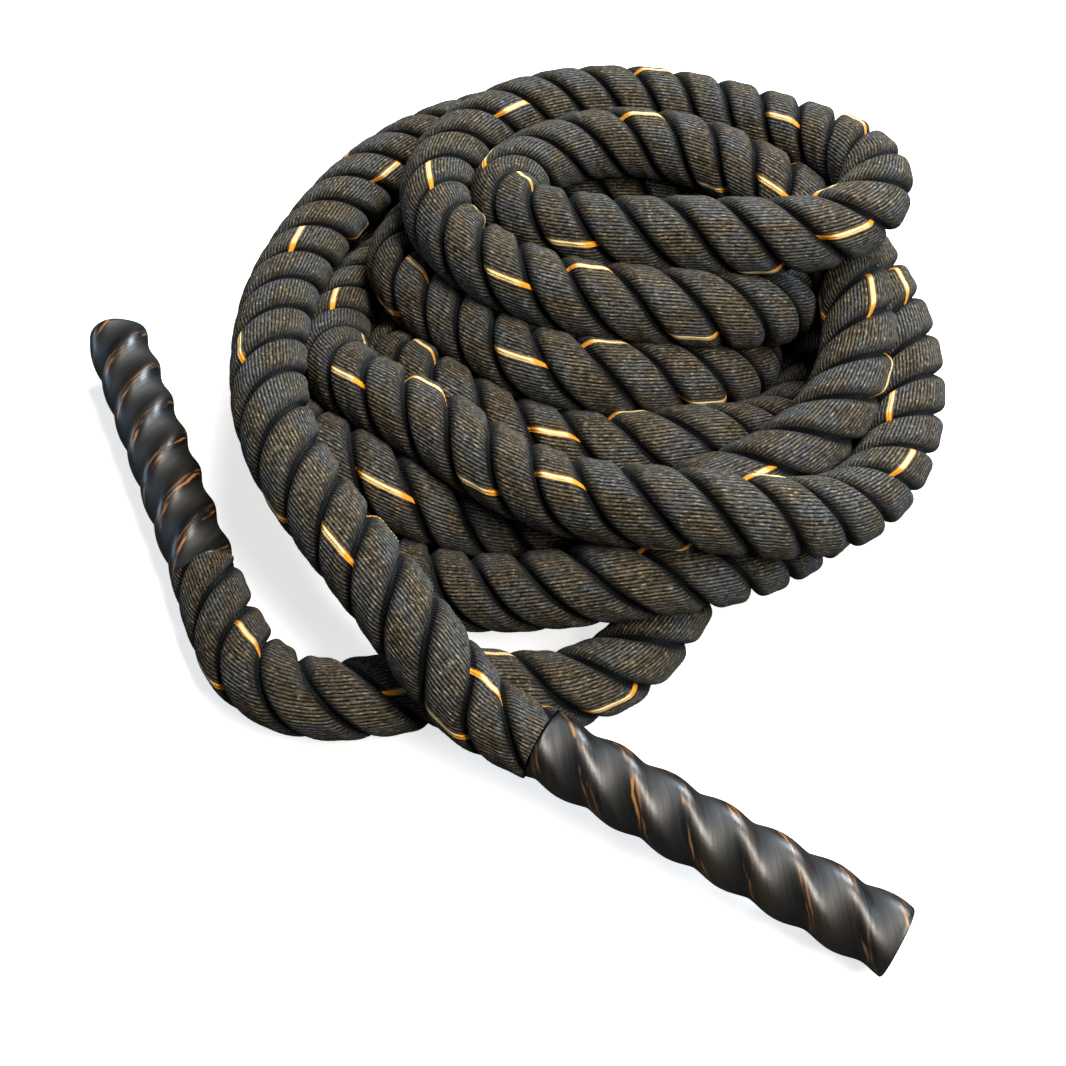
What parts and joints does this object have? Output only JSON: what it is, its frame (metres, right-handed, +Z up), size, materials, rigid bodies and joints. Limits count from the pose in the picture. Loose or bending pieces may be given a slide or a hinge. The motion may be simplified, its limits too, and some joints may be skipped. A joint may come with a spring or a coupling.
{
  "type": "battle rope",
  "caption": "Thick black laid training rope lying in a loose heap of turns, with a twisted shrunk grip sleeve on each free end.",
  "frame": {"origin": "on the floor under the middle of the whole object's bounding box", "axes": "+Z up; -Y is the front that was pictured; +X is to the right from there"},
  "size_m": [0.6794, 0.804, 0.1936],
  "materials": {
    "rope": "matt black laid yarn with a few gold tracer yarns",
    "sleeve": "glossy black shrunk tubing"
  },
  "bodies": {
    "root": {"rope_coil": "rope", "rope_tail_a": "rope", "rope_tail_b": "rope", "strand_a_1": "rope", "strand_a_2": "rope", "strand_a_3": "rope", "strand_b_1": "rope", "strand_b_2": "rope", "strand_b_3": "rope", "sleeve_a": "sleeve", "sleeve_b": "sleeve"}
  },
  "joints": []
}
